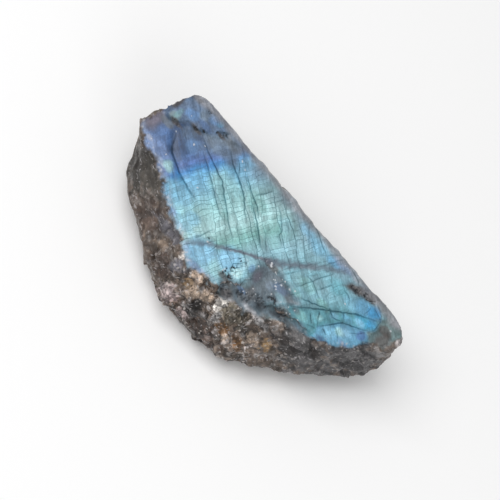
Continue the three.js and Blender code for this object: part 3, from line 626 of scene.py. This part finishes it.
def crack_strength_and_ledge_shade(points, along, up):
    """How deep and dark the cracks are at each place, from 0 to 1, with painted shade on one side of a plate
    edge: they waver and fade out at both ends.
    """
    along = along + CRACK_WAVER * smooth_noise(points, CRACK_WAVES, 7)
    up = up + CRACK_WAVER * smooth_noise(points, CRACK_WAVES, 8)
    fading = 0.75 + 0.6 * smooth_noise(points, 1.1, 9)
    strength = np.zeros(len(along))
    plain = [(*crack, 0.0) for crack in (*LONG_CRACKS, *CROSS_CRACKS, *hairlines())]
    for force, half_width, route, shaded in (*plain, *[(*edge, PLATE_SHADE) for edge in PLATE_EDGES]):
        low_x, low_y = np.min(route, axis=0) - CRACK_REACH
        high_x, high_y = np.max(route, axis=0) + CRACK_REACH
        near = np.flatnonzero((along > low_x) & (along < high_x) & (up > low_y) & (up < high_y))
        if len(near):
            gap, share, left = distance_to_route(along[near], up[near], route)
            taper = np.sqrt(np.clip(5.0 * share * (1.0 - share), 0.0, 1.0))
            core = 1.0 - smoothstep(0.2, 1.5, gap / half_width)
            soft = 0.25 * (1.0 - smoothstep(0.0, 4.0, gap / half_width))
            # painted shade on the left of a plate edge, as if cast by its step
            shade = shaded * left * (1.0 - smoothstep(0.0, PLATE_SHADE_REACH, gap))
            line = np.clip(fading[near] + force - 0.5, 0.0, 1.0) * np.maximum(core, soft)
            strength[near] = np.maximum(strength[near], force * taper * np.maximum(line, shade))
    return np.clip(strength, 0.0, 1.0)


def crystals():
    """Places and sizes of the small crystals."""
    random = np.random.default_rng(SEED)
    for count, lowest, highest, smallest, largest in CRYSTAL_CLUSTERS:
        for _ in range(count):
            yield (*random.uniform(lowest, highest), random.uniform(smallest, largest))


def spots(along, up, places, ragged):
    """1 inside any of the spots, which are a little longer than wide and have ragged edges."""
    cover = np.zeros(len(along))
    for x, y, radius in places:
        angle = SPOT_TURN * (x + y)
        length = math.cos(angle) * (along - x) + math.sin(angle) * (up - y)
        width = math.cos(angle) * (up - y) - math.sin(angle) * (along - x)
        reach = np.hypot(SPOT_STRETCH[0] * length, SPOT_STRETCH[1] * width) / radius + ragged
        cover = np.maximum(cover, 1.0 - smoothstep(*SPOT_FADE, reach))
    return cover


def pitted(along, up, lumps):
    """1 in the small black pits of the crumbly places."""
    cover = np.zeros(len(along))
    for place in CRUMBLY_PLACES:
        cover = np.maximum(cover, patch_cover(along, up, (1.0, *place), 0.0))
    return cover * smoothstep(*PIT_LUMPS, lumps)


def patch_cover(along, up, patch, ragged, fade=PATCH_FADE):
    """How strongly an oval patch covers each place."""
    cover, x, y, half_length, half_width = patch
    reach = np.hypot((along - x) / half_length, (up - y) / half_width) + ragged
    return cover * (1.0 - smoothstep(*fade, reach))


def flash_colour(points, along, up):
    """The paint of the polished face: bands across the long split, then patches, areas and small touches."""
    lengthwise = SPLIT_AXES[0] @ np.stack((along, up)) + 0.5 * smooth_noise(points, 2.6, 2)
    stops, paints = zip(*FLASH_BANDS)
    channels = zip(*[PAINTS[paint] for paint in paints])
    colour = np.stack([np.interp(lengthwise, stops, channel) for channel in channels], axis=1)
    to_back = distance_to_route(along, up, BACK_EDGE)[0]
    hazy = smoothstep(-0.4, 0.6, smooth_noise(points, 3.0, 3))
    colour = mix(colour, PAINTS["haze"], (0.45 + 0.4 * hazy) * (1.0 - smoothstep(*HAZE_FROM_BACK, to_back)))
    ragged = 0.25 * smooth_noise(points, 1.6, 4)
    for paint, *patch in FLASH_PATCHES:
        colour = mix(colour, PAINTS[paint], patch_cover(along, up, patch, ragged))
    for paint, cover, edge, _, outline in FACE_AREAS:
        depth = depth_inside(along, up, outline) + 3.0 * edge * ragged
        colour = mix(colour, PAINTS[paint], cover * smoothstep(-edge, edge, depth))
    for paint, *patch in FACE_TOUCHES:
        colour = mix(colour, PAINTS[paint], patch_cover(along, up, patch, 2.0 * ragged))
    # The front rim is frosted, partly as a painted highlight
    to_front = distance_to_route(along, up, FRONT_RIM)[0] + 3.0 * ragged
    frosted_and_highlit_rim = (1.0 - smoothstep(*FROSTED_AND_HIGHLIT_RIM, to_front)) * (1.0 - smoothstep(*FROSTED_AND_HIGHLIT_TO, along))
    colour = mix(colour, PAINTS["rim lilac and highlight"], 0.5 * frosted_and_highlit_rim)
    worn = 1.0 - smoothstep(*WORN_BACK_EDGE, to_back + 2.0 * ragged)
    return mix(colour, PAINTS["edge grey"], 0.8 * worn)


def healed_fracture(points, along, up):
    """How strongly the grey band of the old fracture shows."""
    route = [place[:2] for place in HEALED_FRACTURE]
    gap, share, _ = distance_to_route(along, up, route)
    stops = route_stops(route)
    width = np.interp(share, stops / stops[-1], [place[2] for place in HEALED_FRACTURE])
    strength = np.interp(share, stops / stops[-1], [place[3] for place in HEALED_FRACTURE])
    reach = gap / width + 0.5 * smooth_noise(points, 0.7, 16)
    return strength * (1.0 - smoothstep(0.1, 1.3, reach))


def flank_colour(points, along, facets, grainy, frost_and_ridge_highlight):
    """The paint of the rough flank: facets, grains, tinted patches, some partly painted shade, and frosted
    ridges that are partly a painted highlight.
    """
    shade = 0.55 + 0.45 * facets[0] + 0.45 * facets[1]
    colour = shade[:, None] * np.array(FLANK_PAINTS["brown"])
    colour = mix(colour, FLANK_PAINTS["grey"], 0.6 * grainy * smoothstep(0.80, 0.95, facets[2]))
    colour = mix(colour, FLANK_PAINTS["black"], 0.7 * grainy * smoothstep(0.25, 0.10, facets[2]))
    high = seen_height(points)
    ragged = 0.4 * smooth_noise(points, 0.9, 5) + 0.6 * (facets[1] - 0.5) + 0.4 * (facets[2] - 0.5)
    for paint, *patch in FLANK_PATCHES:
        share = patch_cover(along, high, patch, ragged, FLANK_PATCH_FADE)
        colour = mix(colour, np.outer(shade, FLANK_PAINTS[paint]), share)
    return mix(colour, FLANK_PAINTS["frost_and_ridge_highlight"], frost_and_ridge_highlight)


def terraces(points):
    """Steps of the cleaved back, long and flat: the height of each point in steps, and its step's number."""
    rise = TERRACES * smooth_noise(points * TERRACE_STRETCH, 1.0, 20) + 0.4 * smooth_noise(points, 0.7, 21)
    step = np.floor(rise)
    return step + smoothstep(0.8, 1.0, rise - step), step


def store(mesh, name, values):
    """Keeps a number for each vertex on the mesh."""
    mesh.attributes.new(name, "FLOAT", "POINT").data.foreach_set("value", values.astype(np.float32))


def store_colour(mesh, name, colour):
    """Keeps a colour for each vertex on the mesh."""
    full = np.hstack((np.clip(colour, 0.0, 1.0), np.ones((len(colour), 1)))).astype(np.float32)
    mesh.attributes.new(name, "FLOAT_COLOR", "POINT").data.foreach_set("color", full.ravel())


def hackly_share(along, up, out, on_back):
    """How rough the flank is: smoother at the left end, on the back and just under its straight edge."""
    by_end = 0.4 + 0.6 * smoothstep(*ROUGH_FROM_LEFT, along)
    by_back = 1.0 - 0.85 * smoothstep(*CALM_AT_BACK, up) * smoothstep(*CALM_UNDER_EDGE, out)
    return by_end * by_back * (1.0 - 0.6 * on_back)


def crazed_share(along, up):
    """How clearly the fine cracks show: best in the middle of the face, and not in its dull parts."""
    lengthwise = SPLIT_AXES[0] @ np.stack((along, up))
    by_length = 0.25 + 0.75 * smoothstep(*CRAZED_FROM_LEFT, lengthwise)
    by_length -= 0.5 * smoothstep(*PLAINER_AT_RIGHT, lengthwise)
    by_back = 0.2 + 0.8 * smoothstep(*CRAZED_FROM_BACK, distance_to_route(along, up, BACK_EDGE)[0])
    for _, _, _, missing, outline in FACE_AREAS:
        by_length *= 1.0 - missing * smoothstep(-0.5, 1.0, depth_inside(along, up, outline))
    return by_length * by_back


def soften_face(mesh):
    """Wears the edges on the polished face and rolls over the brow of the hollow."""
    points, normals = vertex_arrays(mesh)
    along, up, _ = face_axes(points)
    polish = polish_of(points, normals)
    to_brow = distance_to_route(along, up, HOLLOW_BROW)[0]
    brow = polish * (1.0 - smoothstep(0.4, 1.0, to_brow / BROW_WIDTH))
    for share, steps in ((polish, SMOOTHING_STEPS), (brow, BROW_STEPS)):
        for _ in range(steps):
            points += SMOOTHING_SHARE * share[:, None] * (neighbour_means(mesh, points) - points)
    mesh.vertices.foreach_set("co", points.astype(np.float32).ravel())
    mesh.update()


def break_and_mark(mesh):
    """Breaks up the flank, opens the cracks and stores what the material reads."""
    points, normals = vertex_arrays(mesh)
    along, up, out = face_axes(points)
    polish = polish_of(points, normals)
    on_back = smoothstep(*BACK_SLOPES, normals[:, 1])
    heights, facets = zip(*[broken_facets(points, size, 11 * size) for size in FACET_SIZES])
    lumps = smooth_noise(points, 0.4, 10)
    # crack marks, together with the painted shade beside the plate edges
    cracks_and_ledge_shade = crack_strength_and_ledge_shade(points, along, up) * polish
    pits = pitted(along, up, lumps) * polish
    relief = sum(share * height for share, height in zip(FACET_SHARES, heights))
    relief *= (1.0 - polish) * smoothstep(*ROUGH_ABOVE_FLOOR, points[:, 2])
    relief *= hackly_share(along, up, out, on_back)
    relief += polish * SWELL_HEIGHT * smooth_noise(points, SWELL_SIZE, 6)
    relief -= GROOVE_DEPTH * cracks_and_ledge_shade + PIT_DEPTH * pits
    terrace_height, terrace = terraces(points)
    below_edge = 1.0 - smoothstep(*STEPS_UNDER_EDGE, out)
    relief += TERRACE_HEIGHT * on_back * below_edge * terrace_height
    moved = points + relief[:, None] * normals
    moved[:, 2] = np.maximum(moved[:, 2], 0.0)
    mesh.vertices.foreach_set("co", (moved * MILLIMETRE).astype(np.float32).ravel())
    mesh.update()

    # ridges that stand out are lightened: partly frost, partly a painted highlight on the ridges
    standing_out = np.einsum("ij,ij->i", moved - neighbour_means(mesh, moved), normals)
    frost_and_ridge_highlight = 0.5 * smoothstep(0.02, 0.08, standing_out) * smoothstep(0.0, 0.6, smooth_noise(points, 2.2, 12))
    grainy = 0.35 + 0.65 * smoothstep(*GRAINY_FROM_LEFT, along) - 0.5 * smoothstep(*PLAIN_AT_RIGHT, along)
    to_front = distance_to_route(along, up, FRONT_RIM)[0]
    # chips along the front rim, partly a painted highlight
    chips = smoothstep(0.2, 0.6, smooth_noise(points, 0.6, 17) + 0.5 * smooth_noise(points, 3.0, 19))
    rim_chips_and_highlight = 0.5 * chips * (1.0 - smoothstep(*CHIPPED_AND_HIGHLIT_RIM, to_front))
    # white crystals and specks, the single specks partly painted glints
    white = spots(along, up, (*SPECKS_AND_GLINTS, *crystals()), 0.8 * lumps)
    store(mesh, "polish", polish)
    store(mesh, "cleaved", on_back)
    # the crack attribute also holds the painted shade beside the plate edges
    store(mesh, "crack", cracks_and_ledge_shade)
    store(mesh, "craze", crazed_share(along, up))
    store(mesh, "grainy", grainy * (1.0 - 0.7 * on_back))
    store(mesh, "healed", healed_fracture(points, along, up))
    store(mesh, "speck_and_glint", np.maximum(white, rim_chips_and_highlight))
    store_colour(mesh, "flash", mix(flash_colour(points, along, up), PAINTS["shadow"], pits))
    matrix = flank_colour(points, along, facets, grainy * (1.0 - on_back), frost_and_ridge_highlight)
    # a random tone for each step of the back, lighter at its edges by the frost and painted highlight
    terrace_tone_and_edge_highlight = 0.65 + 0.8 * lattice_random(terrace[:, None], 22) + 1.5 * frost_and_ridge_highlight
    terrace_colour = np.outer(terrace_tone_and_edge_highlight, FLANK_PAINTS["cleavage"])
    store_colour(mesh, "matrix", mix(matrix, terrace_colour, 0.85 * on_back))


class Nodes:
    """Short ways to add nodes to one material."""

    def __init__(self, material):
        material.use_nodes = True
        self.tree = material.node_tree
        self.shader = self.tree.nodes["Principled BSDF"]

    def add(self, kind, **settings):
        node = self.tree.nodes.new(kind)
        for name, value in settings.items():
            setattr(node, name, value)
        return node

    def link(self, output, socket):
        """Links an output to a socket, or sets the socket to a plain value."""
        if isinstance(output, (int, float, tuple)):
            socket.default_value = output
        else:
            self.tree.links.new(output, socket)

    def attribute(self, name, output="Fac"):
        return self.add("ShaderNodeAttribute", attribute_name=name).outputs[output]

    def ramp(self, value, low, high, to_low=0.0, to_high=1.0):
        """Goes smoothly from to_low to to_high as the value goes from low to high."""
        node = self.add("ShaderNodeMapRange", interpolation_type="SMOOTHSTEP")
        for socket, number in zip(node.inputs, (value, low, high, to_low, to_high)):
            self.link(number, socket)
        return node.outputs[0]

    def mix(self, share, first, second, blend="MIX"):
        node = self.add("ShaderNodeMix", data_type="RGBA", blend_type=blend)
        self.link(share, node.inputs[0])
        self.link(first, node.inputs[6])
        self.link(second, node.inputs[7])
        return node.outputs[2]

    def place(self):
        return self.add("ShaderNodeTexCoord").outputs["Object"]

    def noise(self, lumps, detail=3.0, stretch=1.0, turn=LONG_SPLIT, output="Fac"):
        """Soft noise with that many lumps in a millimetre, stretched along one direction on the face."""
        mapping = self.add("ShaderNodeMapping", vector_type="TEXTURE")
        mapping.inputs["Rotation"].default_value = (FACE_TILT, 0.0, turn)
        mapping.inputs["Scale"].default_value = (stretch, 1.0, 1.0)
        self.link(self.place(), mapping.inputs["Vector"])
        node = self.add("ShaderNodeTexNoise")
        self.link(mapping.outputs[0], node.inputs["Vector"])
        node.inputs["Scale"].default_value = lumps * PER_METRE
        node.inputs["Detail"].default_value = detail
        return node.outputs[output]

    def wavering_place(self, *waves):
        """The place of a point, pushed about by waves of so many in a millimetre and so far a reach."""
        place = self.place()
        for lumps, reach in waves:
            drift = self.add("ShaderNodeVectorMath", operation="MULTIPLY_ADD")
            self.link(self.noise(lumps, output="Color"), drift.inputs[0])
            drift.inputs[1].default_value = (reach * MILLIMETRE,) * 3
            self.link(place, drift.inputs[2])
            place = drift.outputs[0]
        return place

    def along(self, place, direction):
        """How far a place lies along a direction."""
        node = self.add("ShaderNodeVectorMath", operation="DOT_PRODUCT")
        self.link(place, node.inputs[0])
        node.inputs[1].default_value = direction
        return node.outputs["Value"]

    def math(self, operation, *values):
        node = self.add("ShaderNodeMath", operation=operation)
        for socket, value in zip(node.inputs, values):
            self.link(value, socket)
        return node.outputs[0]

    def separate(self, colour):
        node = self.add("ShaderNodeSeparateColor")
        self.link(colour, node.inputs[0])
        return node.outputs[:3]

    def cells(self, size):
        """Three numbers for each grain of about that size."""
        node = self.add("ShaderNodeTexVoronoi")
        self.link(self.wavering_place((0.8 / size, 0.6 * size)), node.inputs["Vector"])
        node.inputs["Scale"].default_value = PER_METRE / size
        return self.separate(node.outputs["Color"])

    def slats(self, value, size):
        """Cuts a line into pieces of about that size: a number for each, and the distance to its ends."""
        outputs = []
        for feature, output in (("F1", "Color"), ("DISTANCE_TO_EDGE", "Distance")):
            node = self.add("ShaderNodeTexVoronoi", voronoi_dimensions="1D", feature=feature)
            self.link(value, node.inputs["W"])
            node.inputs["Scale"].default_value = 1.0 / size
            outputs.append(node.outputs[output])
        return self.separate(outputs[0])[0], self.math("MULTIPLY", outputs[1], size)


def face_direction(axis):
    """One of the split axes as a direction in the stone's own frame, counted in millimetres."""
    along, up = SPLIT_AXES[axis] * PER_METRE
    return (along, up * math.cos(FACE_TILT), up * math.sin(FACE_TILT))


def craze(nodes):
    """Fine cracks of the face in strips and bricks: how dark they are, and how bright each brick is."""
    place = nodes.wavering_place(*CRAZE_WAVES)
    strip, strip_edge = nodes.slats(nodes.along(place, face_direction(1)), STRIP_WIDTH)
    shifted = nodes.math("MULTIPLY_ADD", strip, BRICK_SHIFT, nodes.along(place, face_direction(0)))
    brick, brick_edge = nodes.slats(shifted, BRICK_LENGTH)
    open_strips = nodes.ramp(nodes.math("ADD", nodes.noise(0.5), strip), 0.45, 1.2, 0.0, 0.95)
    open_bricks = nodes.ramp(nodes.math("ADD", nodes.noise(0.8, detail=4.0), brick), 0.5, 1.2, 0.0, 0.90)
    long_lines = nodes.math("MULTIPLY", nodes.ramp(strip_edge, 0.01, 0.12, 1.0, 0.0), open_strips)
    cross_lines = nodes.math("MULTIPLY", nodes.ramp(brick_edge, 0.01, 0.08, 1.0, 0.0), open_bricks)
    lines = nodes.math("MAXIMUM", long_lines, cross_lines)
    return nodes.math("MULTIPLY", lines, nodes.attribute("craze")), nodes.ramp(brick, 0.0, 1.0, 0.86, 1.12)


def face_paint(nodes):
    """Colour of the polished face: flash, streaks, the old fracture, cracks with the painted shade beside
    plate edges, and specks, partly painted glints.
    """
    fine_cracks, brightness = craze(nodes)
    mottle = nodes.ramp(nodes.noise(3.5, detail=4.0, stretch=2.0), 0.3, 0.7, 0.84, 1.16)
    streaks = nodes.ramp(nodes.noise(0.8, detail=4.0, stretch=6.0), 0.35, 0.65, 0.78, 1.16)
    colour = nodes.attribute("flash", "Color")
    colour = nodes.mix(1.0, colour, nodes.math("MULTIPLY", brightness, mottle), "MULTIPLY")
    colour = nodes.mix(1.0, colour, streaks, "MULTIPLY")
    colour = nodes.mix(nodes.attribute("healed"), colour, HEALED_PAINT)
    # crack darkening, which also lays the painted shade beside the plate edges
    shaded = nodes.mix(1.0, colour, CRACK_TINT, "MULTIPLY")
    colour = nodes.mix(nodes.math("MAXIMUM", nodes.attribute("crack"), fine_cracks), colour, shaded)
    # white specks and crystals, partly painted glints and the painted highlight of the front rim
    return nodes.mix(nodes.attribute("speck_and_glint"), colour, SPECK_AND_GLINT_PAINT)


def flank_paint(nodes):
    """Colour of the rough flank: patches, grime, streaks of the cleaved back, grains with painted glints, and
    splinters that are partly painted glints.
    """
    grime = nodes.ramp(nodes.noise(0.6, detail=4.0), 0.3, 0.7, 0.70, 1.24)
    along_back = nodes.noise(1.2, detail=5.0, stretch=10.0, turn=0.0)
    streaks = nodes.ramp(along_back, 0.35, 0.65, 0.7, 1.3)
    colour = nodes.mix(1.0, nodes.attribute("matrix", "Color"), grime, "MULTIPLY")
    colour = nodes.mix(nodes.attribute("cleaved"), colour, nodes.mix(1.0, colour, streaks, "MULTIPLY"))
    grainy = nodes.attribute("grainy")
    coarse = nodes.cells(COARSE_GRAIN)
    fine = nodes.cells(FINE_GRAIN)
    coarse_shade = nodes.ramp(coarse[0], 0.0, 1.0, 0.5, 1.5)
    fine_shade = nodes.ramp(fine[0], 0.0, 1.0, 0.5, 1.5)
    brightness = nodes.math("MULTIPLY", coarse_shade, fine_shade)
    colour = nodes.mix(grainy, colour, nodes.mix(1.0, colour, brightness, "MULTIPLY"))
    # painted glints on a few single grains
    painted_glints = nodes.math("MULTIPLY", nodes.ramp(fine[1], 0.94, 0.98, 0.0, 0.75), grainy)
    colour = nodes.mix(painted_glints, colour, GLINT_PAINT)
    # light splinters and scratches, partly painted glints
    for turn in SPLINTER_TURNS:
        slivers = nodes.noise(2.2, detail=2.0, stretch=4.0, turn=turn)
        splinters_and_glints = nodes.ramp(slivers, 0.66, 0.74, 0.0, 0.65)
        colour = nodes.mix(splinters_and_glints, colour, SPLINTER_AND_GLINT_PAINT)
    return colour


def labradorite():
    """The stone's one material: polished and flashing above, rough and granular elsewhere."""
    material = bpy.data.materials.new("labradorite")
    nodes = Nodes(material)
    polish = nodes.attribute("polish")
    nodes.link(nodes.mix(polish, flank_paint(nodes), face_paint(nodes)), nodes.shader.inputs["Base Color"])
    glints = nodes.ramp(nodes.noise(0.7), 0.4, 0.6, *FLANK_ROUGHNESS)
    rough = nodes.add("ShaderNodeMix", data_type="FLOAT")
    nodes.link(polish, rough.inputs[0])
    nodes.link(glints, rough.inputs[2])
    nodes.link(nodes.ramp(nodes.attribute("crack"), 0.0, 1.0, *FACE_ROUGHNESS), rough.inputs[3])
    nodes.link(rough.outputs[0], nodes.shader.inputs["Roughness"])
    nodes.shader.inputs["Specular IOR Level"].default_value = GLOSS
    bump = nodes.add("ShaderNodeBump")
    bump.inputs["Distance"].default_value = BUMP_HEIGHT * MILLIMETRE
    nodes.link(nodes.ramp(polish, 0.0, 1.0, *BUMP_STRENGTHS), bump.inputs["Strength"])
    nodes.link(nodes.noise(1.8, detail=5.0, stretch=2.5), bump.inputs["Height"])
    nodes.link(bump.outputs[0], nodes.shader.inputs["Normal"])
    return material


def build_stone():
    """The stone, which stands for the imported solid."""
    piece = even_copy_of(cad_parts["labradorite_chunk"])
    refine_face(piece.data)
    soften_face(piece.data)
    break_and_mark(piece.data)
    piece.data.materials.append(labradorite())
    piece.data.shade_smooth()
    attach(piece, "root")
    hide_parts("labradorite_chunk")


def build_floor():
    """A plain pale floor."""
    bpy.ops.mesh.primitive_plane_add(size=FLOOR_SIZE)
    floor = bpy.context.object
    floor.name = "floor"
    material = bpy.data.materials.new("floor")
    shader = Nodes(material).shader
    shader.inputs["Base Color"].default_value = FLOOR_PAINT
    shader.inputs["Roughness"].default_value = FLOOR_ROUGHNESS
    floor.data.materials.append(material)


def build_light():
    """Square soft lights that point at the stone, in a bright surround."""
    for name, (place, size, power) in SOFTBOXES.items():
        light = bpy.data.lights.new(name, "AREA")
        light.size = size
        light.energy = power
        lamp = bpy.data.objects.new(name, light)
        lamp.location = place
        lamp.rotation_euler = Vector(place).to_track_quat("Z", "Y").to_euler()
        bpy.context.collection.objects.link(lamp)
    world = bpy.data.worlds.new("studio")
    world.use_nodes = True
    surround = world.node_tree.nodes["Background"]
    surround.inputs["Color"].default_value = SURROUND_PAINT
    surround.inputs["Strength"].default_value = SURROUND_STRENGTH
    bpy.context.scene.world = world
    bpy.context.scene.view_settings.view_transform = "Standard"


def build_camera():
    """Looks down on the stone, rolled so that its long axis runs to the lower right."""
    turn = Matrix.Rotation(math.pi / 2 - ELEVATION, 4, "X") @ Matrix.Rotation(ROLL, 4, "Z")
    face_origin = Vector((-CENTRE[0], -CENTRE[1], FACE_HEIGHT))
    shift_right = (FACE_ORIGIN_PIXEL[0] - IMAGE_WIDTH / 2) * PIXEL_SIZE
    shift_up = (IMAGE_WIDTH / 2 - FACE_ORIGIN_PIXEL[1]) * PIXEL_SIZE
    distance = IMAGE_WIDTH * PIXEL_SIZE * LENS / SENSOR
    eye = face_origin + turn @ Vector((-shift_right, -shift_up, distance))
    camera = bpy.data.cameras.new("camera")
    camera.lens = LENS
    camera.sensor_width = SENSOR
    camera.clip_start = NEAREST_SEEN
    viewer = bpy.data.objects.new("camera", camera)
    viewer.matrix_world = Matrix.Translation(eye * MILLIMETRE) @ turn
    bpy.context.collection.objects.link(viewer)
    bpy.context.scene.camera = viewer


build_camera()
build_light()
build_floor()
build_stone()
